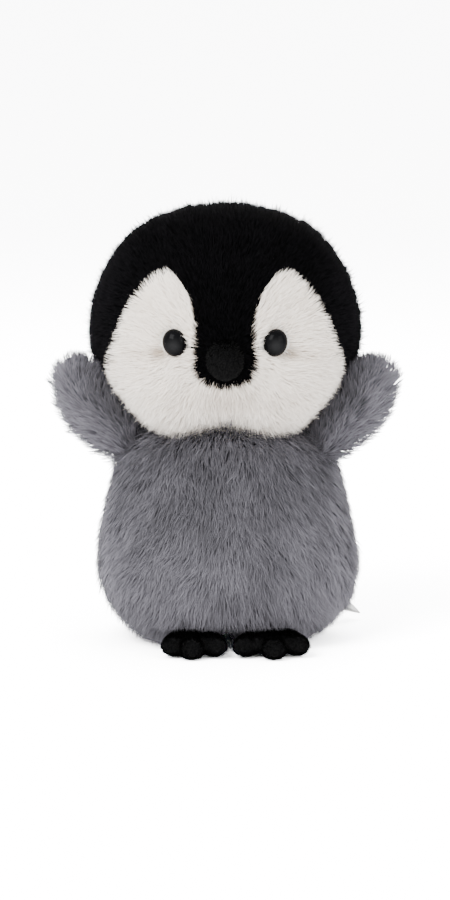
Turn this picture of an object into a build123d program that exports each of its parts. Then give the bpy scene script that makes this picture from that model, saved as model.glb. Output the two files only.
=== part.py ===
from build123d import *

import os
from math import atan2, copysign, cos, degrees, pi, radians, sin, sqrt

# A plush penguin chick that stands on its flat base and its two sewn feet, flippers raised.
# Millimetres, +Z up. The toy faces -Y and its own left side is +X.
# The origin is the middle of the flat base. Every fur panel is modelled as its backing and
# its standing pile together, so its outer face is where the pile ends on average.

# ---------------------------------------------------------------- driving dimensions

# Body: a pear of long grey fur, closed below by a flat base.
body_width = 137.0
body_depth = 115.0
body_height = 107.5
body_pile = 8.0
base_seam_inset = 2.0

# Head: a wide, low dome of shorter fur.
head_width = 144.0
head_depth = 116.0
head_height = 122.0
head_pile = 5.0
fur_backing = 1.0

# Neck: the stuffing runs from the body into the head as one soft ball.
neck_gap = 4.5
neck_ball_radius = 34.0
neck_ball_sink = 17.5
neck_fit = 0.4
thread_radius = 0.7

# Face markings, seen from the front.
stripe_half_width = 17.0
crown_half_width = 24.0
lobe_height = 94.5
lobe_half_spacing = 31.5
cheek_half_width = 64.6
throat_half_width = 13.0
throat_height = 11.0

# Beak: a small stuffed dome of black velour.
beak_radius = 10.5
beak_length = 13.0
beak_height = 46.0
beak_droop = 8.0
beak_cloth = 1.2

# Safety eyes with a shank and a lock washer behind the backing.
eye_diameter = 12.5
eye_dome = 6.5
eye_rim = 1.5
eye_half_spacing = 27.0
eye_height = 55.7
eye_yaw = 18.0
shank_diameter = 4.0
shank_length = 12.0
washer_diameter = 15.0
washer_thickness = 2.0
washer_sink = 0.6

# Flippers: flat stuffed paddles, sewn in at the shoulders. Each rise is above the body's top.
flipper_root_radius = 8.5
flipper_blade_radius = 12.0
flipper_thickness = 16.0
flipper_edge_round = 6.5
flipper_pile = 3.5
flipper_mid_rise = 17.0
flipper_tip_rise = 35.0
flipper_mid_spread = 4.0
flipper_forward = 15.0
flipper_head_gap = 3.0
shoulder_rise = 0.5
shoulder_seam_drop = 4.3
shoulder_gap = 1.15776

# Feet: three short toes each, black velour over a firm sole. The toes stand out in front of
# the body's widest part and the heel is tucked in behind it.
foot_height = 13.0
foot_cloth = 1.5
sole_thickness = 2.5
heel_radius = 9.0
toe_radius = 6.6
foot_round = 5.0
sole_round = 1.0
toe_overhang = (18.5, 22.0, 18.0)
toe_spread = 12.6
heel_tuck = 7.5
foot_body_gap = 0.3
left_foot_x = 24.0
left_foot_splay = 9.0
left_foot_setback = 2.0
right_foot_x = -18.5
right_foot_splay = 4.0
right_foot_setback = 0.0

# Filling, thread and label.
pouch_radius = 30.0
pouch_height = 16.0
pouch_lift = 4.0
stitch_count = 8
stitch_pitch = 4.0
stitch_start = 30.0
stitch_length = 4.4
stitch_width = 1.0
label_height = 12.0
label_azimuth = 35.0
label_width = 14.0
label_length = 24.0
label_thickness = 0.8
label_gap = 1.0897
label_droop = 6.0

# ---------------------------------------------------------------- soft forms

# Each form is a stack of rounded outlines: (share of the height, share of the half width).
body_profile = [
    (0.000, 0.642),
    (0.023, 0.745),
    (0.074, 0.861),
    (0.167, 0.956),
    (0.316, 1.000),
    (0.484, 0.985),
    (0.670, 0.942),
    (0.819, 0.883),
    (0.912, 0.817),
    (0.967, 0.723),
    (1.000, 0.555),
]
head_profile = [
    (0.000, 0.472),
    (0.033, 0.625),
    (0.074, 0.736),
    (0.131, 0.800),
    (0.197, 0.875),
    (0.279, 0.945),
    (0.369, 0.995),
    (0.467, 1.000),
    (0.566, 0.972),
    (0.656, 0.928),
    (0.742, 0.861),
    (0.850, 0.750),
    (0.925, 0.576),
    (0.970, 0.389),
    (0.988, 0.262),
    (1.000, 0.150),
]
outline_fullness = 2.35
outline_steps = 24

head_bottom = body_height + neck_gap
head_top = head_bottom + head_height
neck_centre = body_height - neck_ball_sink


def rounded_outline(half_width, half_depth):
    """Points of an outline a little squarer than an ellipse."""
    power = 2 / outline_fullness
    points = []
    for step in range(outline_steps):
        turn = 2 * pi * step / outline_steps
        across = copysign(abs(cos(turn)) ** power, cos(turn)) * half_width
        along = copysign(abs(sin(turn)) ** power, sin(turn)) * half_depth
        points.append((across, along))
    return points


def plush_form(profile, width, depth, bottom, height, inset=0.0):
    """A closed soft form; a negative inset makes it larger all round."""
    with BuildPart() as form:
        for height_share, width_share in profile:
            level = bottom + inset + height_share * (height - 2 * inset)
            half_width = width / 2 * width_share - inset
            half_depth = depth / 2 * width_share - inset
            with BuildSketch(Plane.XY.offset(level)):
                with BuildLine():
                    Spline(*rounded_outline(half_width, half_depth), periodic=True)
                make_face()
        loft()
    return form.part


def width_share_at(profile, share):
    """The form's share of its half width at a share of its height."""
    for lower, upper in zip(profile, profile[1:]):
        if share <= upper[0]:
            blend = (share - lower[0]) / (upper[0] - lower[0])
            return lower[1] + blend * (upper[1] - lower[1])
    return profile[-1][1]


def reach_at(profile, width, depth, share, azimuth):
    """Distance from the upright axis to the form's face, in one direction."""
    size = width_share_at(profile, share)
    across = abs(cos(radians(azimuth))) / (width / 2 * size)
    along = abs(sin(radians(azimuth))) / (depth / 2 * size)
    return (across**outline_fullness + along**outline_fullness) ** (-1 / outline_fullness)


def front_of_head(across, level):
    """The head's front face at a place seen from the front, as a distance along -Y."""
    size = width_share_at(head_profile, (level - head_bottom) / head_height)
    ratio = abs(across) / (head_width / 2 * size)
    return head_depth / 2 * size * (1 - ratio**outline_fullness) ** (1 / outline_fullness)


def side_of_head(forward, level):
    """The head's half width at a distance in front of its middle."""
    size = width_share_at(head_profile, (level - head_bottom) / head_height)
    ratio = abs(forward) / (head_depth / 2 * size)
    return head_width / 2 * size * (1 - ratio**outline_fullness) ** (1 / outline_fullness)


def side_of_body(forward, level):
    """The body's half width at a distance in front of its middle."""
    size = width_share_at(body_profile, level / body_height)
    ratio = abs(forward) / (body_depth / 2 * size)
    return body_width / 2 * size * (1 - ratio**outline_fullness) ** (1 / outline_fullness)


os.makedirs("parts", exist_ok=True)


def save(piece, name):
    """Label one finished piece and write it to its own file."""
    piece.part.label = name
    export_step(piece.part, f"parts/{name}.step")


head_sizes = (head_profile, head_width, head_depth, head_bottom, head_height)
body_sizes = (body_profile, body_width, body_depth, 0.0, body_height)
head_outer = plush_form(*head_sizes)
head_inner = plush_form(*head_sizes, inset=head_pile)
body_outer = plush_form(*body_sizes)
body_inner = plush_form(*body_sizes, inset=body_pile)
body_clear = plush_form(*body_sizes, inset=-foot_body_gap)

# ---------------------------------------------------------------- beak

beak_level = head_bottom + beak_height
beak_seat = front_of_head(0, beak_level) - head_pile + fur_backing
beak_axis = Axis((0, -beak_seat, beak_level), (0, -cos(radians(beak_droop)), -sin(radians(beak_droop))))
beak_plane = Plane(
    origin=beak_axis.position,
    x_dir=(1, 0, 0),
    z_dir=Vector(1, 0, 0).cross(beak_axis.direction),
)


def beak_form(inset):
    """The beak's dome about its own axis, shrunk by inset inside its cloth."""
    radius = beak_radius - inset
    length = beak_length - inset
    with BuildPart() as form:
        with BuildSketch(beak_plane):
            with BuildLine():
                side = Spline((radius, inset), (radius * 0.62, length * 0.8), (0, length),
                              tangents=[(0, 1), (-1, 0)])
                Polyline(side @ 1, (0, inset), side @ 0)
            make_face()
        revolve(axis=beak_axis)
    return form.part


beak_outer = beak_form(0.0)
beak_inner = beak_form(beak_cloth)

with BuildPart() as beak_cover:
    add(beak_outer)
    add(beak_inner, mode=Mode.SUBTRACT)
save(beak_cover, "beak_cover")

with BuildPart() as beak_stuffing:
    add(beak_inner)
save(beak_stuffing, "beak_stuffing")

# ---------------------------------------------------------------- eyes


def eye_frame(side):
    """Where an eye sits on the backing: its axis outwards and a plane through that axis."""
    level = head_bottom + eye_height
    seat = front_of_head(eye_half_spacing, level) - head_pile + fur_backing
    outwards = Vector(side * sin(radians(eye_yaw)), -cos(radians(eye_yaw)), 0)
    axis = Axis((side * eye_half_spacing, -seat, level), outwards)
    return axis, Plane(origin=axis.position, x_dir=(0, 0, 1), z_dir=Vector(0, 0, 1).cross(outwards))


eye_pieces = {}
for side, name in ((1, "left"), (-1, "right")):
    eye_axis, eye_plane = eye_frame(side)
    with BuildPart() as eye:
        with BuildSketch(eye_plane):
            with BuildLine():
                dome = Spline((eye_diameter / 2, eye_rim), (0, eye_dome), tangents=[(0, 1), (-1, 0)])
                Polyline(
                    dome @ 1,
                    (0, -shank_length),
                    (shank_diameter / 2, -shank_length),
                    (shank_diameter / 2, 0),
                    (eye_diameter / 2, 0),
                    dome @ 0,
                )
            make_face()
        revolve(axis=eye_axis)
    save(eye, f"eye_{name}")

    washer_face = -(fur_backing + washer_sink)
    with BuildPart() as eye_washer:
        with BuildSketch(eye_plane):
            with Locations(((washer_diameter + shank_diameter) / 4, washer_face - washer_thickness / 2)):
                Rectangle((washer_diameter - shank_diameter) / 2, washer_thickness)
        revolve(axis=eye_axis)
    save(eye_washer, f"eye_washer_{name}")
    eye_pieces[name] = [eye.part, eye_washer.part]

# ---------------------------------------------------------------- head panels

with BuildPart() as neck_socket:
    with Locations((0, 0, neck_centre)):
        Sphere(neck_ball_radius + neck_fit)

with BuildPart() as head_shell:
    add(head_outer)
    add(head_inner, mode=Mode.SUBTRACT)
    add(neck_socket.part, mode=Mode.SUBTRACT)

# The black stripe runs down to the beak in front and over the crown behind.
stripe_foot = beak_level - beak_radius - 1.6
stripe_waist = beak_level + beak_radius * 0.2
stripe_flare = head_bottom + lobe_height - 7.0
with BuildPart() as stripe_cutter:
    with BuildSketch(Plane.XZ):
        with BuildLine():
            ThreePointArc((-stripe_half_width, stripe_waist), (0, stripe_foot), (stripe_half_width, stripe_waist))
            right_side = Line((stripe_half_width, stripe_waist), (stripe_half_width, beak_level + 22.0))
            flare = Spline(right_side @ 1, (crown_half_width, stripe_flare), tangents=[(0, 1), (0.25, 1)])
            Polyline(
                flare @ 1,
                (crown_half_width, head_top + head_pile),
                (-crown_half_width, head_top + head_pile),
                (-crown_half_width, stripe_flare),
            )
            Spline((-crown_half_width, stripe_flare), (-stripe_half_width, beak_level + 22.0),
                   tangents=[(0.25, -1), (0, -1)])
            Line((-stripe_half_width, beak_level + 22.0), (-stripe_half_width, stripe_waist))
        make_face()
    extrude(amount=head_depth)
    with Locations((0, 0, stripe_flare)):
        Box(2 * crown_half_width, head_depth, head_height,
            align=(Align.CENTER, Align.MIN, Align.MIN))

# Two white lobes with full cheeks, joined under the beak.
lobe_top = head_bottom + lobe_height
cheek_level = head_bottom + 39.0
with BuildPart() as face_cutter:
    with BuildSketch(Plane.XZ):
        with BuildLine():
            outer_edge = Spline(
                (cheek_half_width - 20.0, head_bottom - 1),
                (cheek_half_width - 5.0, head_bottom + 17.0),
                (cheek_half_width, cheek_level),
                (cheek_half_width - 7.5, head_bottom + 67.5),
                (lobe_half_spacing, lobe_top),
                (0, head_bottom + 60.0),
            )
            Polyline(outer_edge @ 1, (0, head_bottom - 1), outer_edge @ 0)
        make_face()
        mirror(about=Plane.YZ)
    extrude(amount=head_depth)

# A grey notch of throat fur rises between the cheeks.
with BuildPart() as throat_cutter:
    with BuildSketch(Plane.XZ):
        with BuildLine():
            peak = head_bottom + throat_height
            ThreePointArc((-throat_half_width, head_bottom - 1), (0, peak), (throat_half_width, head_bottom - 1))
            Line((throat_half_width, head_bottom - 1), (-throat_half_width, head_bottom - 1))
        make_face()
    extrude(amount=head_depth)

with BuildPart() as crown_stripe:
    add(head_shell.part)
    add(stripe_cutter.part, mode=Mode.INTERSECT)
    add(beak_outer, mode=Mode.SUBTRACT)
save(crown_stripe, "crown_stripe")

with BuildPart() as throat_panel:
    add(head_shell.part)
    add(throat_cutter.part, mode=Mode.INTERSECT)
save(throat_panel, "throat_panel")

for side, name in ((Keep.TOP, "left"), (Keep.BOTTOM, "right")):
    with BuildPart() as face:
        add(head_shell.part)
        add(face_cutter.part, mode=Mode.INTERSECT)
        add(stripe_cutter.part, mode=Mode.SUBTRACT)
        add(throat_cutter.part, mode=Mode.SUBTRACT)
        split(bisect_by=Plane.YZ, keep=side)
        add(eye_pieces[name], mode=Mode.SUBTRACT)
    save(face, f"face_{name}")

    with BuildPart() as hood:
        add(head_shell.part)
        add(face_cutter.part, mode=Mode.SUBTRACT)
        add(stripe_cutter.part, mode=Mode.SUBTRACT)
        add(throat_cutter.part, mode=Mode.SUBTRACT)
        split(bisect_by=Plane.YZ, keep=side)
    save(hood, f"hood_{name}")

with BuildPart() as head_stuffing:
    add(head_inner)
    add(neck_socket.part, mode=Mode.SUBTRACT)
    add(eye_pieces["left"] + eye_pieces["right"], mode=Mode.SUBTRACT)
save(head_stuffing, "head_stuffing")

# ---------------------------------------------------------------- body

with BuildPart() as neck_ball:
    with Locations((0, 0, neck_centre)):
        Sphere(neck_ball_radius)

with BuildPart() as body_shell:
    add(body_outer)
    add(body_inner, mode=Mode.SUBTRACT)
    add(neck_ball.part, mode=Mode.SUBTRACT)

base_share = body_profile[0][1]
with BuildPart() as base_cutter:
    with BuildSketch():
        with BuildLine():
            Spline(
                *rounded_outline(
                    body_width / 2 * base_share - base_seam_inset,
                    body_depth / 2 * base_share - base_seam_inset,
                ),
                periodic=True,
            )
        make_face()
    extrude(amount=body_pile + 1)

with BuildPart() as base_panel:
    add(body_shell.part)
    add(base_cutter.part, mode=Mode.INTERSECT)
save(base_panel, "base_panel")

# The gap left for filling is drawn shut from outside by a ladder of small stitches.
with BuildPart() as closing_stitches:
    for step in range(stitch_count):
        level = stitch_start + step * stitch_pitch
        back = reach_at(body_profile, body_width, body_depth, level / body_height, 90)
        with Locations((0, back - body_pile + fur_backing + stitch_width, level)):
            Box(stitch_length, stitch_width, stitch_width)
save(closing_stitches, "closing_stitches")

for x_side, name in ((Keep.TOP, "left"), (Keep.BOTTOM, "right")):
    for y_side, place in ((Keep.TOP, "front"), (Keep.BOTTOM, "back")):
        with BuildPart() as panel:
            add(body_shell.part)
            add(base_cutter.part, mode=Mode.SUBTRACT)
            split(bisect_by=Plane.YZ, keep=x_side)
            split(bisect_by=Plane.XZ, keep=y_side)
            add(closing_stitches.part, mode=Mode.SUBTRACT)
        save(panel, f"body_{place}_{name}")

# A cloth pouch of plastic pellets weights the base.
with BuildPart() as pellet_pouch:
    with BuildSketch(Plane.XY.offset(body_pile + pouch_lift)):
        Circle(pouch_radius)
    extrude(amount=pouch_height)
    fillet(pellet_pouch.edges(), pouch_height * 0.42)
save(pellet_pouch, "pellet_pouch")

with BuildPart() as body_stuffing:
    add(body_inner)
    add(neck_ball.part)
    add(pellet_pouch.part, mode=Mode.SUBTRACT)
save(body_stuffing, "body_stuffing")

thread_level = body_height + thread_radius
thread_ring = sqrt(neck_ball_radius**2 - (body_height - neck_centre) ** 2) + thread_radius
with BuildPart() as neck_thread:
    with Locations((0, 0, thread_level)):
        Torus(thread_ring, thread_radius)
save(neck_thread, "neck_thread")

# ---------------------------------------------------------------- flippers

shoulder_height = body_height + shoulder_rise
flipper_mid_height = body_height + flipper_mid_rise
flipper_tip_height = body_height + flipper_tip_rise
shoulder_reach = side_of_body(flipper_forward, shoulder_height - shoulder_seam_drop)
flipper_root = (shoulder_reach + flipper_root_radius + shoulder_gap, shoulder_height)


def blade_centre(level, spread=0.0):
    """A place along the flipper's blade that keeps its inner edge clear of the head."""
    rear_face = flipper_forward - flipper_thickness / 2
    clear = side_of_head(rear_face, level) + flipper_head_gap + flipper_blade_radius
    return (clear + spread, level)


def flipper_form(side, inset):
    """A flat paddle with rounded edges, shrunk by inset inside its fur."""
    circles = [
        (flipper_root, flipper_root_radius),
        (blade_centre(flipper_mid_height, flipper_mid_spread), flipper_blade_radius),
        (blade_centre(flipper_tip_height), flipper_blade_radius),
    ]
    with BuildPart() as form:
        with BuildSketch(Plane.XZ.offset(flipper_forward)):
            for (across, level), radius in circles:
                with Locations((side * across, level)):
                    Circle(radius - inset)
            make_hull()
        extrude(amount=flipper_thickness / 2 - inset, both=True)
        fillet(form.edges(), flipper_edge_round - inset)
    return form.part


for side, name in ((1, "left"), (-1, "right")):
    flipper_outer = flipper_form(side, 0.0)
    flipper_inner = flipper_form(side, flipper_pile)
    for keep, place in ((Keep.TOP, "front"), (Keep.BOTTOM, "back")):
        with BuildPart() as flipper_panel:
            add(flipper_outer)
            add(flipper_inner, mode=Mode.SUBTRACT)
            split(bisect_by=Plane.XZ.offset(flipper_forward), keep=keep)
        save(flipper_panel, f"flipper_{place}_{name}")
    with BuildPart() as flipper_stuffing:
        add(flipper_inner)
    save(flipper_stuffing, f"flipper_stuffing_{name}")

# ---------------------------------------------------------------- feet


def toe_form(heel, tip, inset):
    """One toe with the part of the foot behind it, rounded on top."""
    with BuildPart() as toe:
        with BuildSketch(Plane.XY.offset(sole_thickness if inset else 0.0)):
            with Locations(heel):
                Circle(heel_radius - inset)
            with Locations(tip):
                Circle(toe_radius - inset)
            make_hull()
        extrude(amount=foot_height - inset - (sole_thickness if inset else 0.0))
        fillet(toe.faces().sort_by(Axis.Z)[-1].edges(), foot_round - inset)
        if not inset:
            fillet(toe.faces().sort_by(Axis.Z)[0].edges(), sole_round)
    return toe.part


def foot_form(centre, splay, setback, inset):
    """Three toes that spread from one heel, turned out by splay and set back under the body."""
    toes = []
    heel_reach = body_depth / 2 - heel_tuck
    for place, overhang in zip((-1, 0, 1), toe_overhang):
        turn = radians(splay)
        along = body_depth / 2 + overhang - heel_reach - toe_radius
        across = place * toe_spread
        tip = (
            centre + across * cos(turn) + along * sin(turn),
            -heel_reach + setback + across * sin(turn) - along * cos(turn),
        )
        heel = (centre + across * 0.5, -heel_reach + setback)
        toes.append(toe_form(heel, tip, inset))
    with BuildPart() as form:
        add(toes)
        add(body_clear, mode=Mode.SUBTRACT)
    return form.part


feet = (
    ("left", left_foot_x, left_foot_splay, left_foot_setback),
    ("right", right_foot_x, -right_foot_splay, right_foot_setback),
)
for name, centre, splay, setback in feet:
    foot_outer = foot_form(centre, splay, setback, 0.0)
    foot_inner = foot_form(centre, splay, setback, foot_cloth)
    sole_plane = Plane.XY.offset(sole_thickness)
    with BuildPart() as foot_sole:
        add(foot_outer)
        split(bisect_by=sole_plane, keep=Keep.BOTTOM)
    save(foot_sole, f"foot_sole_{name}")

    with BuildPart() as foot_upper:
        add(foot_outer)
        split(bisect_by=sole_plane, keep=Keep.TOP)
        add(foot_inner, mode=Mode.SUBTRACT)
    save(foot_upper, f"foot_upper_{name}")

    with BuildPart() as foot_stuffing:
        add(foot_inner)
    save(foot_stuffing, f"foot_stuffing_{name}")

# ---------------------------------------------------------------- label

# A folded strip of white ribbon is caught in the seam behind the toy's left side.
label_share = label_height / body_height
label_turn = degrees(atan2(label_width / 2, body_width / 2))
label_corner = reach_at(body_profile, body_width, body_depth, label_share, label_azimuth - label_turn)
label_reach = label_corner * cos(radians(label_turn))
label_outwards = Vector(cos(radians(label_azimuth)), sin(radians(label_azimuth)), 0)
label_root = label_outwards * (label_reach + label_gap) + Vector(0, 0, label_height)
label_run = label_outwards * cos(radians(label_droop)) - Vector(0, 0, sin(radians(label_droop)))
label_plane = Plane(
    origin=label_root,
    x_dir=label_run,
    z_dir=label_run.cross(Vector(-label_outwards.Y, label_outwards.X, 0)),
)
with BuildPart() as care_label:
    with BuildSketch(label_plane.offset(-label_thickness / 2)):
        Rectangle(label_length, label_width, align=(Align.MIN, Align.CENTER))
    extrude(amount=label_thickness)
save(care_label, "care_label")
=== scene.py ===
import math
import bpy
import numpy as np
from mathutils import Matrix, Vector, kdtree


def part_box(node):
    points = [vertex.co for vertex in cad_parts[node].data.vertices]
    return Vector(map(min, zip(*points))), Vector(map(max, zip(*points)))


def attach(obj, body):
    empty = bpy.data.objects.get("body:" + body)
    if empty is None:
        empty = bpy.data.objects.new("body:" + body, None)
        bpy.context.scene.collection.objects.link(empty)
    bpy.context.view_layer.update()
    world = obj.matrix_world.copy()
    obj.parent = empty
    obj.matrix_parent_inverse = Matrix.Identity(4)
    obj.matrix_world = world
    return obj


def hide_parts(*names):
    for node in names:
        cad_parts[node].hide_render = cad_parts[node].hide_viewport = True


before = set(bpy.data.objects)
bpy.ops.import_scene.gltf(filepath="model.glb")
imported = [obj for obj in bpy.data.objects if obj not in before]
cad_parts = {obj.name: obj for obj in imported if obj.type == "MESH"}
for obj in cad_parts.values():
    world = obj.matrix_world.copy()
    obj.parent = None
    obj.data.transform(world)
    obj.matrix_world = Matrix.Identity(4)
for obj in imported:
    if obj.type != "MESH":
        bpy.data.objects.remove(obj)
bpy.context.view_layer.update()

mm = 0.001

# ---------------------------------------- studio
# The toy stands on a plain white table in a white room. A broad panel lights it from the
# upper left, a weaker one fills from the right, and a strip behind rims the fur.
room = bpy.context.scene


def plain_nodes(name):
    """A fresh material with its node tree and its Principled shader."""
    material = bpy.data.materials.new(name)
    material.use_nodes = True
    tree = material.node_tree
    return material, tree, tree.nodes["Principled BSDF"]


def feed(tree, node, inputs):
    """Link or set a shader node's inputs, each by its name or its number."""
    for socket, given in inputs.items():
        if isinstance(given, bpy.types.NodeSocket):
            tree.links.new(given, node.inputs[socket])
        else:
            node.inputs[socket].default_value = given
    return node


def add(tree, kind, inputs=None, **settings):
    """A new shader node with its own settings, and its inputs linked or set."""
    node = tree.nodes.new("ShaderNode" + kind)
    for key, value in settings.items():
        setattr(node, key, value)
    return feed(tree, node, inputs or {})


def mixed(tree, share, first, second):
    """A colour between two others."""
    return add(tree, "Mix", {0: share, 6: first, 7: second}, data_type="RGBA").outputs[2]


white = (1.0, 1.0, 1.0, 1.0)
world = bpy.data.worlds.new("white room")
world.use_nodes = True
world_tree = world.node_tree
world_light = feed(world_tree, world_tree.nodes["Background"], {"Color": white, "Strength": 1.7})
world_seen = add(world_tree, "Background", {"Color": white, "Strength": 40.0})
world_path = add(world_tree, "LightPath")
world_mix = add(world_tree, "MixShader", {
    0: world_path.outputs["Is Camera Ray"], 1: world_light.outputs[0], 2: world_seen.outputs[0]})
feed(world_tree, world_tree.nodes["World Output"], {"Surface": world_mix.outputs[0]})
room.world = world

table_mesh = bpy.data.meshes.new("table")
table_half = 9
table_corners = [(x * table_half, y * table_half, 0) for x, y in ((-1, -1), (1, -1), (1, 1), (-1, 1))]
table_mesh.from_pydata(table_corners, [], [(0, 1, 2, 3)])
table = bpy.data.objects.new("table", table_mesh)
room.collection.objects.link(table)
table_paint, paint_tree, paint_shader = plain_nodes("table paint")
paint_grain = add(paint_tree, "TexNoise", {"Scale": 3.0})
paint_tint = mixed(
    paint_tree, paint_grain.outputs["Fac"], (0.90, 0.90, 0.91, 1.0), (0.93, 0.93, 0.935, 1.0))
paint_path = add(paint_tree, "LightPath")
paint_gain = add(paint_tree, "MapRange", {
    "Value": paint_path.outputs["Is Camera Ray"], "To Min": 1.0, "To Max": 6.6})
paint_bright = add(paint_tree, "VectorMath", {
    0: paint_tint, "Scale": paint_gain.outputs["Result"]}, operation="SCALE")
feed(paint_tree, paint_shader, {
    "Base Color": paint_bright.outputs[0], "Roughness": 0.9, "Specular IOR Level": 0.1})
table_mesh.materials.append(table_paint)

aim = Vector((0.0, 0.0, 0.1007))
view_distance = 2.68
view_lift = math.radians(9.0)
camera_data = bpy.data.cameras.new("camera")
camera_data.lens = 200.0
camera = bpy.data.objects.new("camera", camera_data)
camera.location = aim + Vector((0, -math.cos(view_lift), math.sin(view_lift))) * view_distance
camera.rotation_euler = (math.pi / 2 - view_lift, 0.0, 0.0)
room.collection.objects.link(camera)
room.camera = camera

lamps = (
    ("key panel", (-0.75, -0.95, 1.15), (0.9, 0.9), 40.0),
    ("fill panel", (1.1, -0.8, 0.7), (0.9, 0.9), 9.0),
    ("rim strip", (0.2, 1.0, 1.0), (1.2, 0.5), 14.0),
)
for name, place, (width, height), power in lamps:
    lamp_data = bpy.data.lights.new(name, "AREA")
    lamp_data.shape = "RECTANGLE"
    lamp_data.size, lamp_data.size_y, lamp_data.energy = width, height, power
    lamp = bpy.data.objects.new(name, lamp_data)
    lamp.location = place
    lamp.rotation_euler = (aim - lamp.location).to_track_quat("-Z", "Y").to_euler()
    room.collection.objects.link(lamp)

# ---------------------------------------- body filling
# Loose polyester fibre, pushed in hard enough that the body keeps its pear shape. It is the
# form that the fur cloth is stretched over, so the cloth is cut from its surface further on.
body_pile = 8.0 * mm
fullness = 2.35
body_outline = (
    (0.000, 0.620), (0.030, 0.745), (0.080, 0.865), (0.167, 0.965), (0.316, 1.015), (0.484, 1.000),
    (0.670, 0.950), (0.819, 0.890), (0.905, 0.840), (0.960, 0.770), (1.000, 0.620),
)


def joint_box(*nodes):
    """The box round several CAD nodes, as two arrays."""
    boxes = np.array([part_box(node) for node in nodes], float)
    return boxes[:, 0].min(axis=0), boxes[:, 1].max(axis=0)


def new_piece(name, points, faces):
    """A named mesh object in the room."""
    mesh = bpy.data.meshes.new(name)
    mesh.from_pydata(np.asarray(points, float).tolist(), [], faces)
    piece = bpy.data.objects.new(name, mesh)
    room.collection.objects.link(piece)
    return piece


def smooth(piece):
    piece.data.polygons.foreach_set("use_smooth", [True] * len(piece.data.polygons))


def circle(count):
    """So many angles evenly round a full turn."""
    return np.arange(count) * 2 * np.pi / count


def ring(x, y, z):
    """Points round a ring; what is given as one number is the same all round."""
    return np.column_stack(np.broadcast_arrays(x, y, z))


def ringed(name, rings):
    """A closed piece through a stack of rings, each an array of as many points."""
    around = len(rings[0])
    faces = [
        (r * around + k, r * around + (k + 1) % around,
         (r + 1) * around + (k + 1) % around, (r + 1) * around + k)
        for r in range(len(rings) - 1) for k in range(around)
    ]
    faces.append(tuple(range(around))[::-1])
    faces.append(tuple(range((len(rings) - 1) * around, len(rings) * around)))
    return new_piece(name, np.vstack(rings), faces)


def stacked_form(name, outline, box, inset, top_inset):
    """A closed form of stacked rounded outlines in a box, drawn in by inset, or top_inset on top."""
    low, high = box
    middle, half = (low + high) / 2, (high - low) / 2
    shares = np.linspace(0, 1, 64)
    turn = circle(96)
    widths = np.interp(shares, *zip(*outline))
    for _ in range(3):
        widths[1:-1] = (widths[:-2] + 2 * widths[1:-1] + widths[2:]) / 4
    across = np.sign(np.cos(turn)) * np.abs(np.cos(turn)) ** (2 / fullness)
    along = np.sign(np.sin(turn)) * np.abs(np.sin(turn)) ** (2 / fullness)
    rings = []
    for share, width in zip(shares, widths):
        level = low[2] + inset + share * (high[2] - low[2] - inset - top_inset)
        wide, deep = half[0] * width - inset, half[1] * width - inset
        rings.append(ring(middle[0] + across * wide, middle[1] + along * deep, level))
    return ringed(name, rings)


def held(items, key):
    """What a mesh's vertices or faces hold under key, as an array of threes."""
    flat = np.empty(len(items) * 3)
    items.foreach_get(key, flat)
    return flat.reshape(-1, 3)


def places(mesh):
    return held(mesh.vertices, "co")


def set_places(mesh, points):
    mesh.vertices.foreach_set("co", np.asarray(points, float).ravel())
    mesh.update()


def settle(piece):
    """Keep what the piece's modifiers make of it as its own mesh."""
    evaluated = piece.evaluated_get(bpy.context.evaluated_depsgraph_get())
    made = bpy.data.meshes.new_from_object(evaluated)
    piece.modifiers.clear()
    piece.data = made
    made.name = piece.name


filling_pressure = 4.0
filling_steps = 20


def stuff(piece, voxel, most):
    """Even out the cloth, then let the filling blow it up by no more than most."""
    even = piece.modifiers.new("even cloth", "REMESH")
    even.mode, even.voxel_size = "VOXEL", voxel
    settle(piece)
    start = places(piece.data)
    cloth = piece.modifiers.new("filling", "CLOTH")
    cloth.settings.use_pressure = True
    cloth.settings.uniform_pressure_force = filling_pressure
    cloth.settings.effector_weights.gravity = 0.0
    for step in range(1, filling_steps + 1):
        room.frame_set(step)
    settle(piece)
    room.frame_set(1)
    moved = places(piece.data) - start
    far = np.linalg.norm(moved, axis=1, keepdims=True)
    set_places(piece.data, start + moved * np.minimum(1.0, most / np.maximum(far, 1e-9)))
    soften = piece.modifiers.new("soften", "SMOOTH")
    soften.factor, soften.iterations = 0.5, 3
    finer = piece.modifiers.new("finer", "SUBSURF")
    finer.levels = 1
    settle(piece)
    smooth(piece)


def bump_out(piece, *bumps):
    """Move a piece's points near each bump's centre by its push, fading out over its reach."""
    points = places(piece.data)
    for centre, reach, push in bumps:
        gap = (points - np.array(centre)) / np.array(reach)
        share = np.exp(-(gap**2).sum(axis=1))[:, None]
        points = points + share * np.array(push)
    set_places(piece.data, points)


def finish_as(piece, body, slot, *nodes):
    """Hand a piece to its body, in the place of CAD nodes, which are hidden. Its slot is not used."""
    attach(piece, body)
    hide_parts(*nodes)


def new_group(name, inputs, outputs):
    """A node group with named inputs and outputs, what it is given and where it gives out."""
    group = bpy.data.node_groups.new(name, "ShaderNodeTree")
    for way, sockets in (("INPUT", inputs), ("OUTPUT", outputs)):
        for socket, kind in sockets.items():
            group.interface.new_socket(socket, in_out=way, socket_type=f"NodeSocket{kind}")
    given = group.nodes.new("NodeGroupInput").outputs
    return group, given, group.nodes.new("NodeGroupOutput")


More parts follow.
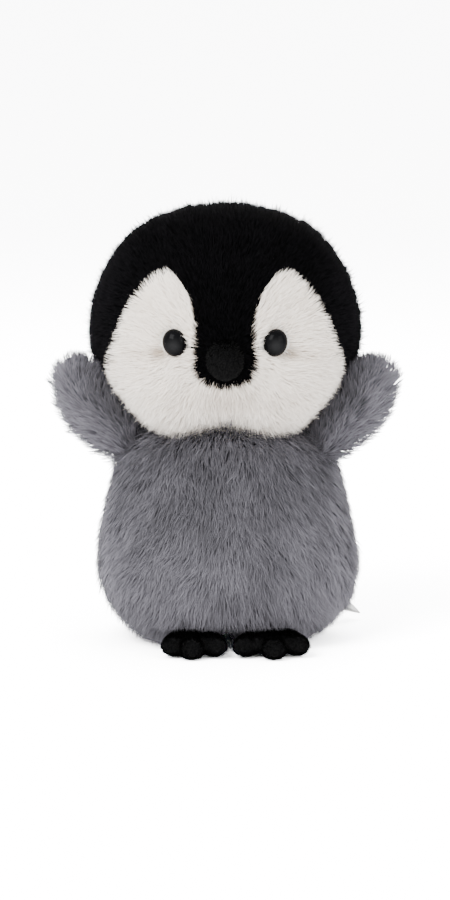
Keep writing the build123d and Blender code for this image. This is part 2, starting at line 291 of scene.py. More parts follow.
def mottle_group():
    """A colour that wanders between two over the surface, and the level that it follows."""
    inputs = {"Dark": "Color", "Light": "Color", "Scale": "Float", "Detail": "Float"}
    group, given, out = new_group("mottle", inputs, {"Colour": "Color", "Level": "Float"})
    spot = add(group, "TexCoord").outputs["Object"]
    noise = add(group, "TexNoise", {
        "Vector": spot, "Scale": given["Scale"], "Detail": given["Detail"]})
    level = noise.outputs["Fac"]
    feed(group, out, {"Colour": mixed(group, level, given["Dark"], given["Light"]), "Level": level})
    return group


mottle = mottle_group()


def mottled(tree, dark, light, scale, detail):
    """The mottle group placed in a material with its own values."""
    node = add(tree, "Group", node_tree=mottle)
    feed(tree, node, {
        "Dark": (*dark, 1.0), "Light": (*light, 1.0), "Scale": scale, "Detail": detail})
    return node.outputs["Colour"], node.outputs["Level"]


def rough_material(name, dark, light, scale, detail, relief, roughness):
    """A matt mottled material with a little relief."""
    material, tree, shader = plain_nodes(name)
    colour, level = mottled(tree, dark, light, scale, detail)
    rise = add(tree, "Bump", {"Distance": relief, "Height": level})
    feed(tree, shader, {
        "Base Color": colour, "Normal": rise.outputs["Normal"], "Roughness": roughness,
        "Specular IOR Level": 0.3})
    return material


fibre = rough_material(
    "polyester fibre", (0.72, 0.71, 0.68), (0.93, 0.93, 0.91), 160.0, 6.0, 1 * mm, 0.95)


def as_filling(piece, body, node):
    """Make a stuffed form the filling of its body, in the place of a CAD node."""
    piece.data.materials.append(fibre)
    finish_as(piece, body, "stuffing", node)


body_box = joint_box("body_front_left", "body_front_right", "body_back_left", "body_back_right")
body_filling = stacked_form("body_filling", body_outline, body_box, body_pile, -4.0 * mm)
belly = ((0, -0.05, 0.045), (0.04, 0.03, 0.035), (0, -0.003, 0))
left_hip = ((0.060, 0, 0.026), (0.02, 0.06, 0.030), (0.0038, 0, -0.001))
right_side = ((-0.060, 0, 0.080), (0.02, 0.06, 0.026), (0.0018, 0, 0))
bump_out(body_filling, belly, left_hip, right_side)
stuff(body_filling, 5 * mm, 2.0 * mm)
as_filling(body_filling, "body", "body_stuffing")

# ---------------------------------------- body fur
# Long grey pile on a knitted backing: two front panels, two back panels and a short-haired
# base, sewn together. The nap runs down and outwards, droops under the chin, hangs over the
# backs of the feet and parts low on the front seam.
class Surface:
    """The outside of a closed form, from which cloth is cut and on which fur is set."""

    def __init__(self, piece):
        mesh = piece.data
        mesh.calc_loop_triangles()
        self.mesh = mesh
        self.points = places(mesh)
        self.normals = held(mesh.vertices, "normal")
        corners = np.empty(len(mesh.loop_triangles) * 3, dtype=np.int64)
        mesh.loop_triangles.foreach_get("vertices", corners)
        self.triangles = corners.reshape(-1, 3)
        a, b, c = (self.points[self.triangles[:, k]] for k in range(3))
        self.areas = np.linalg.norm(np.cross(b - a, c - a), axis=1) / 2

    def scatter(self, per_square_mm, rng, weigh=None):
        """Random places on the cloth with their normals, so many to a square millimetre."""
        weights = self.areas.copy()
        if weigh is not None:
            weights *= weigh(self.points[self.triangles].mean(axis=1))
        total = int(weights.sum() / mm**2 * per_square_mm)
        chosen = self.triangles[rng.choice(len(weights), total, p=weights / weights.sum())]
        first, second = rng.random(total), rng.random(total)
        over = first + second > 1
        first[over], second[over] = 1 - first[over], 1 - second[over]
        share = np.column_stack([1 - first - second, first, second])[:, :, None]
        roots = (self.points[chosen] * share).sum(axis=1)
        normals = unit((self.normals[chosen] * share).sum(axis=1))
        return roots + normals * (cloth_gap + cloth_thickness), normals


def unit(vectors):
    return vectors / np.maximum(np.linalg.norm(vectors, axis=1, keepdims=True), 1e-12)


def wander(points, seed, wavelength):
    """A smooth random value, about -1 to 1, with features about a wavelength across."""
    rng = np.random.default_rng(seed)
    waves = rng.normal(size=(7, 3)) * 2 * np.pi / wavelength / 1.7
    phases = rng.random(7) * 2 * np.pi
    return np.sin(points @ waves.T + phases).sum(axis=1) / 3.2


def turned(vectors, axes, angle):
    """Each vector turned about its own unit axis, where the two are square to each other."""
    angle = np.asarray(angle)[:, None]
    return vectors * np.cos(angle) + np.cross(axes, vectors) * np.sin(angle)


def fade(values, low, high):
    """A smooth step from 0 at low to 1 at high."""
    share = np.clip((values - low) / (high - low), 0, 1)
    return share * share * (3 - 2 * share)


def combed(nap, normals):
    """The nap laid flat in the cloth."""
    return unit(nap - normals * (nap * normals).sum(axis=1, keepdims=True))


tuft_size = 12
fibre_curl = 0.35
fibre_segments = 3


def grow(roots, normals, nap, length, lean_root, lean_tip, rng, clump=0.3):
    """Four joints of each fibre. It leaves the cloth leaning lean_root degrees from upright
    and its tip leans lean_tip. Fibres near each other draw together into tufts."""
    count, segments = len(roots), fibre_segments
    twist = rng.normal(0, fibre_curl, count)
    path = [roots]
    for step in range(segments):
        share = (step + 0.5) / segments
        angle = np.radians(lean_root + (lean_tip - lean_root) * share)[:, None]
        way = turned(nap, normals, twist * share)
        heading = normals * np.cos(angle) + way * np.sin(angle)
        path.append(path[-1] + heading * (length / segments)[:, None])
    path = np.stack(path, axis=1)
    leaders = rng.choice(count, max(1, count // tuft_size), replace=False)
    tree = kdtree.KDTree(len(leaders))
    for index, leader in enumerate(leaders):
        tree.insert(roots[leader], index)
    tree.balance()
    nearest = leaders[np.array([tree.find(root)[1] for root in roots])]
    tips = path[nearest]
    for step in range(1, segments + 1):
        path[:, step] += (tips[:, step] - path[:, step]) * clump * (step / segments) ** 1.5
    path[:, :, 2] = np.maximum(path[:, :, 2], 0.5 * mm)
    return path


fibre_roll = 0.8
coat_share = 0.6
chart_columns = 64


def fur_piece(name, path, normals, width, tone, material, rng):
    """One object of flat tapered fibres, each reading its own column of the fur's colours.
    Their shading normals lean towards the cloth's, so that the pile is lit as one soft coat."""
    count, joints = path.shape[0], path.shape[1] - 1
    along = np.diff(path, axis=1)
    roll = (rng.random(count) - 0.5) * 2 * fibre_roll
    edges, facing = [], []
    for step in range(joints):
        way = unit(along[:, step])
        side = turned(unit(np.cross(way, normals)), way, roll)
        half = (width * (1 - (step / joints) ** 1.4 * 0.75) / 2)[:, None]
        edges += [path[:, step] - side * half, path[:, step] + side * half]
        flat_normal = np.cross(side, way)
        facing += [unit(flat_normal * (1 - coat_share) + normals * coat_share)] * 2
    facing.append(facing[-1])
    points = np.concatenate([np.stack(edges, axis=1), path[:, -1:]], axis=1)
    each = points.shape[1]
    corner_row = [c for s in range(joints - 1) for c in (2 * s, 2 * s + 1, 2 * s + 3, 2 * s + 2)]
    corner_row += [each - 3, each - 2, each - 1]
    corners = (np.arange(count)[:, None] * each + np.array(corner_row)).ravel()
    sizes = np.tile([4] * (joints - 1) + [3], count)
    mesh = bpy.data.meshes.new(name)
    mesh.vertices.add(count * each)
    mesh.vertices.foreach_set("co", points.ravel())
    mesh.loops.add(len(corners))
    mesh.loops.foreach_set("vertex_index", corners.astype(np.int32))
    mesh.polygons.add(len(sizes))
    starts = np.concatenate([[0], np.cumsum(sizes)[:-1]])
    mesh.polygons.foreach_set("loop_start", starts.astype(np.int32))
    mesh.polygons.foreach_set("use_smooth", np.ones(len(sizes), bool))
    column = np.clip((tone * chart_columns).astype(int), 0, chart_columns - 1)
    left, right = (column + 0.15) / chart_columns, (column + 0.85) / chart_columns
    level = np.repeat(np.arange(joints) / joints, 2) * 0.94 + 0.03
    level = np.append(level, 0.97)
    across = np.stack([(left, right)[k % 2] for k in range(each - 1)] + [(left + right) / 2], axis=1)
    spots = np.stack([across, np.broadcast_to(level, (count, each))], axis=2)
    chart = mesh.uv_layers.new(name="OFBake")
    chart.data.foreach_set("uv", spots[:, corner_row].astype(np.float32).ravel())
    mesh.update(calc_edges=True)
    mesh.normals_split_custom_set_from_vertices(np.stack(facing, axis=1).reshape(-1, 3))
    mesh.materials.append(material)
    piece = bpy.data.objects.new(name, mesh)
    room.collection.objects.link(piece)
    return piece


def colour_group():
    """Fibre colour from its chart: root to tip up the chart, dark to light fibres across it. The last
    quarter across, past the lightest fibres, runs into a painted shade colour for places in shade."""
    inputs = {
        "Chart": "Vector", "Root": "Color", "Middle": "Color", "Tip": "Color", "Painted shade": "Color",
        "Spread": "Float"}
    group, given, out = new_group("fibre colour", inputs, {"Colour": "Color"})
    chart = add(group, "SeparateXYZ", {0: given["Chart"]}).outputs

    def ranged(axis, low, high, to_low=0.0, to_high=1.0):
        limits = {"From Min": low, "From Max": high, "To Min": to_low, "To Max": to_high}
        return add(group, "MapRange", {"Value": chart[axis], **limits}).outputs["Result"]

    colour = mixed(group, ranged("Y", 0.0, 0.5), given["Root"], given["Middle"])
    colour = mixed(group, ranged("Y", 0.5, 1.0), colour, given["Tip"])
    # Past the lightest fibres the colour turns to the painted shade colour.
    colour = mixed(group, ranged("X", 0.76, 1.0), colour, given["Painted shade"])
    shade = add(group, "Math", {
        0: ranged("X", 0.0, 0.75, -1.0, 1.0), 1: given["Spread"], 2: 1.0}, operation="MULTIPLY_ADD")
    scaled = add(group, "VectorMath", {0: colour, "Scale": shade.outputs[0]}, operation="SCALE")
    feed(group, out, {"Colour": scaled.outputs[0]})
    return group


fibre_colour = colour_group()
lightest = 0.74


def pile_material(name, root, middle, tip, shade_colour, spread, roughness=0.75, sheen=0.1, specular=0.2):
    """Fur or velour fibres: matt, with a soft sheen, coloured by the fibre colour group."""
    material, tree, shader = plain_nodes(name)
    chart = add(tree, "UVMap", uv_map="OFBake")
    colours = add(tree, "Group", node_tree=fibre_colour)
    feed(tree, colours, {
        "Chart": chart.outputs["UV"], "Root": (*root, 1.0), "Middle": (*middle, 1.0),
        "Tip": (*tip, 1.0), "Painted shade": (*shade_colour, 1.0), "Spread": spread})
    feed(tree, shader, {
        "Base Color": colours.outputs["Colour"], "Roughness": roughness,
        "Specular IOR Level": specular, "Sheen Weight": sheen, "Sheen Roughness": 0.4})
    return material


def knit_group():
    """The knitted backing under the pile: rows of small loops as a colour and a height."""
    sockets = {"Dark": "Color", "Light": "Color"}, {"Colour": "Color", "Height": "Float"}
    group, given, out = new_group("knitted backing", *sockets)
    spot = add(group, "TexCoord").outputs["Object"]
    loops = add(group, "TexVoronoi", {"Vector": spot, "Scale": 900.0})
    rows = add(group, "TexWave", {
        "Vector": spot, "Scale": 260.0, "Distortion": 2.0}, wave_type="BANDS", bands_direction="Z")
    both = add(group, "Math", {
        0: loops.outputs["Distance"], 1: rows.outputs["Fac"]}, operation="MULTIPLY")
    height = both.outputs[0]
    feed(group, out, {"Colour": mixed(group, height, given["Dark"], given["Light"]), "Height": height})
    return group


knitted = knit_group()


def backing_material(name, dark, light):
    """The knitted cloth that carries the pile."""
    material, tree, shader = plain_nodes(name)
    knit = add(tree, "Group", node_tree=knitted)
    feed(tree, knit, {"Dark": (*dark, 1.0), "Light": (*light, 1.0)})
    rise = add(tree, "Bump", {"Distance": 0.2 * mm, "Height": knit.outputs["Height"]})
    feed(tree, shader, {
        "Base Color": knit.outputs["Colour"], "Normal": rise.outputs["Normal"],
        "Roughness": 0.95, "Specular IOR Level": 0.1})
    return material


cloth_gap = 0.15 * mm
cloth_thickness = 0.7 * mm


def cut_cloth(name, surface, wanted, material):
    """A panel of backing cloth: the faces of the form that wanted picks, as a thin shell."""
    mesh = surface.mesh
    kept = np.nonzero(wanted(held(mesh.polygons, "center")))[0]
    faces = [tuple(mesh.polygons[int(k)].vertices) for k in kept]
    used = sorted({corner for face in faces for corner in face})
    where = {corner: index for index, corner in enumerate(used)}
    inside = [tuple(where[corner] for corner in face) for face in faces]
    inner = surface.points[used] + surface.normals[used] * cloth_gap
    outer = surface.points[used] + surface.normals[used] * (cloth_gap + cloth_thickness)
    borders = {edge for face in inside for edge in zip(face, face[1:] + face[:1])}
    shift = len(used)
    rim = [(b + shift, a + shift, a, b) for a, b in sorted(borders) if (b, a) not in borders]
    top = [tuple(c + shift for c in face) for face in inside]
    panel = new_piece(name, np.vstack([inner, outer]), top + [face[::-1] for face in inside] + rim)
    smooth(panel)
    panel.data.materials.append(material)
    return panel


grey_fur = pile_material(
    "grey fur", root=(0.062, 0.060, 0.069), middle=(0.105, 0.101, 0.116), tip=(0.168, 0.162, 0.184),
    shade_colour=(0.07, 0.068, 0.08), spread=0.5)
grey_backing = backing_material("grey backing", (0.045, 0.044, 0.05), (0.08, 0.078, 0.088))
grey_cloth = (grey_fur, grey_backing, "grey_fur")
body_surface = Surface(body_filling)
base_edge = body_pile + 1.5 * mm
body_panels = (
    ("base_panel", lambda p: p[:, 2] < base_edge),
    ("body_front_left", lambda p: (p[:, 0] >= 0) & (p[:, 1] < 0)),
    ("body_front_right", lambda p: (p[:, 0] < 0) & (p[:, 1] < 0)),
    ("body_back_left", lambda p: (p[:, 0] >= 0) & (p[:, 1] >= 0)),
    ("body_back_right", lambda p: (p[:, 0] < 0) & (p[:, 1] >= 0)),
)


def panel_of(points, panels):
    """Which panel each place belongs to: the first one that claims it."""
    found = np.full(len(points), -1)
    for index, (_, wanted) in enumerate(panels):
        found[(found < 0) & wanted(points)] = index
    return found


def cover(surface, panels, owner, fibres, body, finishes, rng):
    """Each panel's own fibres and its backing cloth, as two pieces of one body."""
    for index, ((name, _), (pile, backing, slot)) in enumerate(zip(panels, finishes)):
        own = [values[owner == index] for values in fibres]
        fur = fur_piece(f"{name}_fur", *own, pile, rng)
        wanted = lambda points: panel_of(points, panels) == index
        cloth = cut_cloth(f"{name}_backing", surface, wanted, backing)
        finish_as(fur, body, slot, name)
        finish_as(cloth, body, slot, name)


rng = np.random.default_rng(20)
roots, normals = body_surface.scatter(2.2, rng)
count = len(roots)
under = roots[:, 2] < base_edge
outward = unit(roots * np.array([1.0, 1.0, 0.0]))
collar = fade(roots[:, 2], 99 * mm, 109 * mm)
front = roots[:, 1] < 0
nap = np.tile([0.0, 0.0, -1.0], (count, 1)) + outward * 0.2
nap[:, 0] += roots[:, 0] / 0.06 * 0.38 * front
parting = np.clip(1 - np.abs(roots[:, 0]) / (9 * mm), 0, 1)
parting = parting * fade(-roots[:, 2], -26 * mm, -14 * mm) * front
nap[:, 0] += np.sign(roots[:, 0]) * parting * 0.7
nap[under] = outward[under]
nap = combed(nap, normals)
nap = turned(nap, normals, wander(roots, 5, 30 * mm) * 0.25 + wander(roots, 6, 9 * mm) * 0.2)
length = (13.0 + 1.4 * wander(roots, 7, 14 * mm) + rng.normal(0, 1.3, count)) * mm
length = np.where(under, 4.0 * mm, length)
over_feet = np.exp(-(roots[:, 0] / 0.045) ** 4)
hem = front * (1 - fade(roots[:, 2], 26 * mm, 40 * mm)) * ~under * over_feet
length = length * (1 + 0.25 * collar + 0.45 * hem)
lean_root = rng.normal(34, 6, count) - 8 * collar
lean_tip = rng.normal(80, 7, count) - 12 * collar - 30 * hem
path = grow(roots, normals, nap, length, lean_root, lean_tip, rng, clump=0.22)
chin_droop = np.array([0.0, 0.5, 2.2, 5.0]) * mm
path[:, :, 2] -= (collar * front)[:, None] * chin_droop
feet_half, feet_back = 43 * mm, -45 * mm
on_feet = (np.abs(path[:, :, 0]) < feet_half) & (path[:, :, 1] < feet_back) & ~under[:, None]
rest_on = rng.normal(12.5, 1.2, count)[:, None] * mm
path[:, :, 2] = np.where(on_feet, np.maximum(path[:, :, 2], rest_on), path[:, :, 2])
breast = fade(roots[:, 2], 35 * mm, 95 * mm)
chest = np.exp(-(roots[:, 0] / (0.048 + 0.022 * breast)) ** 2) * (0.45 + 0.55 * breast) * front
# Painted light: the fibres are lighter towards the sides as a painted rim highlight, and a little
# lighter at the collar against the shade under the head.
tone = 0.46 - 0.46 * chest + 0.04 * collar + 0.20 * fade(np.abs(roots[:, 0]), 42 * mm, 64 * mm)
tone = tone + 0.10 * wander(roots, 8, 24 * mm) + rng.normal(0, 0.13, count)
tone = np.clip(tone, 0.0, lightest)
width = rng.normal(0.44, 0.05, count) * mm
owner = panel_of(roots, body_panels)
fibres = (path, normals, width, tone)
cover(body_surface, body_panels, owner, fibres, "body", [grey_cloth] * len(body_panels), rng)

# ---------------------------------------- head filling
# The head is stuffed harder than the body. Full cheeks push the face forward on both sides
# of the chin, and the shanks of the eyes pull the face in where they are fastened.
head_pile = 5.0 * mm
head_outline = (
    (0.000, 0.472), (0.033, 0.625), (0.074, 0.736), (0.131, 0.810), (0.197, 0.885), (0.279, 0.950),
    (0.369, 0.995), (0.467, 1.000), (0.566, 0.975), (0.656, 0.928), (0.742, 0.861), (0.850, 0.745),
    (0.925, 0.576), (0.970, 0.389), (0.988, 0.262), (1.000, 0.100),
)
head_box = joint_box("hood_left", "hood_right", "face_left", "face_right", "crown_stripe")
eye_drop = (0, 0, 1.8 * mm)
eye_centres = [sum(joint_box(name)) / 2 - eye_drop for name in ("eye_left", "eye_right")]
beak_low, beak_high = joint_box("beak_cover")
beak_level = (beak_low[2] + beak_high[2]) / 2
head_filling = stacked_form("head_filling", head_outline, head_box, head_pile, head_pile)
head_bumps = []
for side in (-1, 1):
    cheek = ((side * 0.034, -0.048, 0.137), (0.022, 0.03, 0.017), (side * 0.001, -0.007, -0.002))
    socket = ((side * 0.0265, -0.055, 0.166), (0.012, 0.02, 0.011), (0, 0.004, 0))
    jowl = ((side * 0.029, -0.046, 0.118), (0.019, 0.022, 0.012), (0, -0.001, -0.0052))
    head_bumps += [cheek, socket, jowl]
chin = ((0, -0.055, 0.119), (0.013, 0.03, 0.009), (0, 0.007, 0.003))
muzzle = ((0, -0.060, 0.156), (0.017, 0.02, 0.015), (0, -0.004, 0))
bump_out(head_filling, *head_bumps, chin, muzzle)
stuff(head_filling, 5 * mm, 2.0 * mm)
as_filling(head_filling, "head", "head_stuffing")

# ---------------------------------------- head fur
# Shorter pile than the body's, densest on the face: a black hood in two halves with a stripe
# down to the beak, two white face panels and a grey notch at the throat, sewn edge to edge.
# The nap runs away from the beak and the eyes.
black_fur = pile_material(
    "black fur", root=(0.0004, 0.0004, 0.0005), middle=(0.0012, 0.0012, 0.0014),
    tip=(0.0050, 0.0046, 0.0054), shade_colour=(0.03, 0.03, 0.034),
    spread=0.6, roughness=0.7, sheen=0.0, specular=0.015)
black_backing = backing_material("black backing", (0.001, 0.001, 0.0012), (0.002, 0.002, 0.0023))
black_cloth = (black_fur, black_backing, "black_fur")
# The white fur's shade colour is a beige-brown painted shade, set round the eyes and under the beak.
white_fur = pile_material(
    "white fur", root=(0.88, 0.78, 0.68), middle=(0.965, 0.885, 0.79), tip=(0.995, 0.935, 0.855),
    shade_colour=(0.42, 0.33, 0.25), spread=0.04, roughness=0.85, sheen=0.1)
white_backing = backing_material("white backing", (0.80, 0.78, 0.74), (0.90, 0.88, 0.84))
white_cloth = (white_fur, white_backing, "white_fur")

stripe_edge = (
    (0.1405, 0.0), (0.1420, 0.0080), (0.1450, 0.0140), (0.1500, 0.0172), (0.1570, 0.0181),
    (0.1665, 0.0172), (0.1790, 0.0166), (0.1875, 0.0180), (0.1930, 0.0203), (0.1980, 0.0236),
    (0.2018, 0.0268), (0.2044, 0.0305),
)
face_edge = (
    (0.1060, 0.0300), (0.1162, 0.0420), (0.1203, 0.0500), (0.1292, 0.0590), (0.1390, 0.0628),
    (0.1517, 0.0637), (0.1620, 0.0608), (0.1792, 0.0545), (0.1890, 0.0490), (0.1975, 0.0425),
    (0.2025, 0.0362), (0.2044, 0.0305),
)
stripe_bottom, lobe_top = 0.1405, 0.2044
crown_half, crown_back_level = 24 * mm, 0.1995
throat_half, throat_back, face_back = 20 * mm, -15 * mm, -4 * mm
chin_edge = ((0.0, 0.1200), (0.008, 0.1185), (0.013, 0.1150), (0.020, 0.1100), (0.027, 0.1040))


def edge_at(values, table):
    return np.interp(values, *zip(*table))


def in_stripe(points):
    """The black stripe seen from the front: round below the beak, wider towards the crown."""
    x, z = np.abs(points[:, 0]), points[:, 2]
    front = points[:, 1] < 0
    below = (x < edge_at(z, stripe_edge)) & (z > stripe_bottom) & (z <= lobe_top) & front
    crown = (z > lobe_top) | ((z > crown_back_level) & (points[:, 1] > 0))
    return below | ((x < crown_half) & crown)


def in_throat(points):
    x, z = np.abs(points[:, 0]), points[:, 2]
    return (x < throat_half) & (z < edge_at(x, chin_edge)) & (points[:, 1] < throat_back)


def in_face(points):
    """The white lobes seen from the front, rounded on top on both sides of the stripe."""
    x, z = np.abs(points[:, 0]), points[:, 2]
    return (x < edge_at(z, face_edge)) & (z < lobe_top) & (points[:, 1] < face_back)


head_panels = (
    ("crown_stripe", in_stripe),
    ("throat_panel", in_throat),
    ("face_left", lambda p: in_face(p) & (p[:, 0] >= 0)),
    ("face_right", lambda p: in_face(p) & (p[:, 0] < 0)),
    ("hood_left", lambda p: p[:, 0] >= 0),
    ("hood_right", lambda p: p[:, 0] < 0),
)
head_finishes = (black_cloth, grey_cloth, white_cloth, white_cloth, black_cloth, black_cloth)
head_surface = Surface(head_filling)


def front_distance(points, centre):
    """How far places on the front lie from a centre, seen from the front; far for the rest."""
    flat = np.linalg.norm(points[:, [0, 2]] - np.array([centre[0], centre[2]]), axis=1)
    return np.where(points[:, 1] < 0, flat, 1.0)


rng = np.random.default_rng(21)
roots, normals = head_surface.scatter(1.8, rng, lambda p: np.where(in_face(p), 1.5, 1.0))
beak_gap = front_distance(roots, (0, 0, beak_level))
eye_gap = np.minimum(*(front_distance(roots, place) for place in eye_centres))
beak_bare, eye_bare, eye_cover = 8.0 * mm, 5.9 * mm, 6.1 * mm
clear = (beak_gap > beak_bare) & (eye_gap > eye_bare)
roots, normals, beak_gap, eye_gap = roots[clear], normals[clear], beak_gap[clear], eye_gap[clear]
count = len(roots)
nap = roots - np.array([0.0, beak_low[1], beak_level])
nap[:, 2] -= np.clip(roots[:, 1], 0, 0.06) * 1.5
throat = in_throat(roots)
rising = throat & (rng.random(count) < 0.22)
nap[throat] = roots[throat] * np.array([8.0, 0, 0]) + np.array([0, -0.8, -0.9])
nap[rising] = roots[rising] * np.array([8.0, 0, 0]) + np.array([0, -0.3, 1.0])
nap = combed(nap, normals)
for place in eye_centres:
    aside = roots - place
    near = np.exp(-(front_distance(roots, place) / (7 * mm)) ** 2)[:, None]
    nap = nap + unit(combed(aside, normals)) * near * 1.6
nap = turned(unit(nap), normals, wander(roots, 15, 26 * mm) * 0.3 + wander(roots, 16, 8 * mm) * 0.2)
white_root = in_face(roots) & ~in_stripe(roots)
length = np.where(white_root, 7.5, 8.5) + 0.8 * wander(roots, 17, 10 * mm) + rng.normal(0, 0.7, count)
jowl = (1 - fade(roots[:, 2], 114 * mm, 128 * mm)) * white_root
length = length * (1 + 0.35 * jowl)
stray = rng.random(count) < 0.05
length = np.where(stray, length * 1.3, length)
length = length * (0.45 + 0.55 * fade(eye_gap, 4 * mm, 13 * mm))
length = length * (0.42 + 0.58 * fade(beak_gap, 7 * mm, 22 * mm))
length = np.where(throat, np.where(rising, 6.0, 14.5), length) * mm
lean_root = np.where(white_root, 44.0, 34.0) + rng.normal(0, 7, count)
lean_tip = np.where(white_root, 76.0, 68.0) + rng.normal(0, 8, count)
lean_root, lean_tip = np.where(throat, 15.0, lean_root), np.where(throat, 45.0, lean_tip)
lean_root, lean_tip = lean_root - 24 * jowl, np.where(stray, lean_tip - 22, lean_tip - 44 * jowl)
path = grow(roots, normals, nap, length, lean_root, lean_tip, rng, clump=0.16)
owner = np.where(throat, 1, panel_of(path[:, 2] * 0.6 + path[:, 3] * 0.4, head_panels))
owner = np.where((jowl > 0.1) & (owner == 1), np.where(roots[:, 0] > 0, 2, 3), owner)
for place in eye_centres:
    reach = np.minimum(front_distance(path[:, 2], place), front_distance(path[:, 3], place))
    lash = (roots[:, 2] > place[2] + 4 * mm) & (rng.random(count) < 0.22)
    owner = np.where((reach < eye_cover) & ~lash, -1, owner)
white = (owner == 2) | (owner == 3)
# The throat panel is grey. Its fibres take the lightest grey as painted light against the shade under
# the chin.
tone = np.where(throat, lightest, 0.38) + 0.10 * wander(roots, 18, 14 * mm)
tone = np.clip(tone + rng.normal(0, 0.14, count), 0.0, lightest)
dark = (owner == 0) | (owner > 3)
# Painted highlight: the black fibres grow lighter towards the sides of the hood, a painted rim sheen.
dark_tone = 0.10 + 0.60 * fade(np.abs(roots[:, 0]), 36 * mm, 66 * mm)
dark_tone = dark_tone + rng.normal(0, 0.14, count)
tone = np.where(dark, np.clip(dark_tone, 0.0, lightest), tone)


def shade_white_fibres(tone, centre, reach, most):
    """Paint shade into white fibres round a centre, seen from the front, fading out over reach."""
    gap = (roots[:, [0, 2]] - np.array(centre)) / np.array(reach)
    share = np.exp(-(gap**2).sum(axis=1)) * white * (roots[:, 1] < 0)
    shade_tone = 0.77 + share * most * 0.22
    return np.where(share * most > 0.04, np.maximum(tone, shade_tone), tone)


# Painted shade on the white face: beige-brown at the outer corners of the eye sockets, round the eyes,
# and under the beak.
for side in (-1, 1):
    tone = shade_white_fibres(tone, (side * 0.0325, 0.1600), (3.5 * mm, 3 * mm), 0.95)
    tone = shade_white_fibres(tone, (side * 0.0390, 0.1580), (8 * mm, 3 * mm), 0.28)
    tone = shade_white_fibres(tone, (side * 0.0270, 0.1380), (12 * mm, 8 * mm), 0.10)
    tone = shade_white_fibres(tone, (side * 0.0400, 0.1850), (9 * mm, 9 * mm), 0.08)
tone = shade_white_fibres(tone, (0.0, 0.1385), (14 * mm, 6 * mm), 0.38)
width = rng.normal(0.46, 0.05, count) * mm
fibres = (path, normals, width, tone)
cover(head_surface, head_panels, owner, fibres, "head", head_finishes, rng)

# ---------------------------------------- beak
# A small stuffed dome of black velour, slightly taller than wide and drooping a little. It
# is sewn round its edge to the stripe, whose fur half covers the seam.
velour = pile_material(
    "black velour", root=(0.002, 0.002, 0.002), middle=(0.004, 0.004, 0.004),
    tip=(0.0085, 0.0083, 0.0082), shade_colour=(0.01, 0.01, 0.01),
    spread=0.4, roughness=0.8, sheen=0.0, specular=0.06)
velour_backing = backing_material(
    "velour backing", (0.0012, 0.0012, 0.0014), (0.0022, 0.0022, 0.0025))


def oval_form(name, centre, half, squareness, droop):
    """A closed oval, its ends towards -Y and +Y, the front one lower by droop. A squareness
    over 2 fills out its corners."""
    turn = circle(40)
    rings = []
    for angle in np.linspace(-np.pi / 2 + 0.06, np.pi / 2 - 0.06, 24):
        wide = abs(math.cos(angle)) ** (2 / squareness)
        deep = math.copysign(abs(math.sin(angle)) ** (2 / squareness), math.sin(angle))
        rings.append(ring(
            centre[0] + half[0] * wide * np.cos(turn), centre[1] + half[1] * deep,
            centre[2] + half[2] * wide * np.sin(turn) + droop * deep))
    return ringed(name, rings)


def velour_over(name, surface, density, pile, body, nodes, seed, nap_way=(0, 0, -1)):
    """Velour over a stuffed form: its cloth and its short dense pile, as two pieces."""
    rng = np.random.default_rng(seed)
    roots, normals = surface.scatter(density, rng)
    count = len(roots)
    nap = combed(np.tile(np.array(nap_way, float), (count, 1)) + normals * 0.3, normals)
    length = pile + rng.normal(size=count) * pile * 0.15
    lean = rng.normal(20, 14, count)
    path = grow(roots, normals, nap, length, lean, lean + 25, rng, clump=0.1)
    tone = np.clip(0.38 + rng.normal(0, 0.16, count), 0, lightest)
    width = np.full(count, 0.38 * mm)
    fur = fur_piece(f"{name}_velour", path, normals, width, tone, velour, rng)
    cloth = cut_cloth(f"{name}_cloth", surface, lambda p: np.ones(len(p), bool), velour_backing)
    finish_as(fur, body, "black_velour", *nodes)
    finish_as(cloth, body, "black_velour", *nodes)


beak_back = beak_high[1]
beak_centre = (0.0, beak_back - 1 * mm, beak_level - 0.3 * mm)
beak_half = (8.8 * mm, beak_back - beak_low[1] - 2.6 * mm, 9.6 * mm)
beak_filling = oval_form("beak_filling", beak_centre, beak_half, 2.3, 1.2 * mm)
stuff(beak_filling, 1.5 * mm, 0.5 * mm)
as_filling(beak_filling, "head", "beak_stuffing")
velour_over("beak", Surface(beak_filling), 7.0, 1.4 * mm, "head", ["beak_cover"], 31)

# ---------------------------------------- eyes
# Moulded safety eyes of almost black plastic with a polished dome. Their shanks pass through
# the cloth and are locked behind it by toothed washers.
eye_plastic, eye_tree, eye_shader = plain_nodes("eye plastic")
eye_colour, eye_level = mottled(
    eye_tree, (0.0015, 0.0015, 0.0018), (0.0035, 0.0035, 0.004), 260.0, 3.0)
# Painted reflection: a soft lighter patch a little below the middle of each eye.
reflection_colour = (0.0125, 0.0125, 0.013, 1.0)
reflection_centre = (0.0270, 0.0, float(eye_centres[0][2]) - 1.2 * mm)
eye_spot = add(eye_tree, "TexCoord").outputs["Object"]
eye_fold = add(eye_tree, "VectorMath", {0: eye_spot}, operation="ABSOLUTE")
eye_flat = add(eye_tree, "VectorMath", {
    0: eye_fold.outputs[0], 1: (1.0, 0.0, 1.0)}, operation="MULTIPLY")
eye_reach = add(eye_tree, "VectorMath", {
    0: eye_flat.outputs[0], 1: reflection_centre}, operation="DISTANCE")
eye_reflection = add(eye_tree, "MapRange", {
    "Value": eye_reach.outputs["Value"], "From Min": 0.5 * mm, "From Max": 5.6 * mm,
    "To Min": 1.0, "To Max": 0.0}, interpolation_type="SMOOTHSTEP")
eye_gloss = add(eye_tree, "MapRange", {"Value": eye_level, "To Min": 0.10, "To Max": 0.20})
feed(eye_tree, eye_shader, {
    "Base Color": mixed(eye_tree, eye_reflection.outputs["Result"], eye_colour, reflection_colour),
    "Roughness": eye_gloss.outputs["Result"], "Specular IOR Level": 0.030})


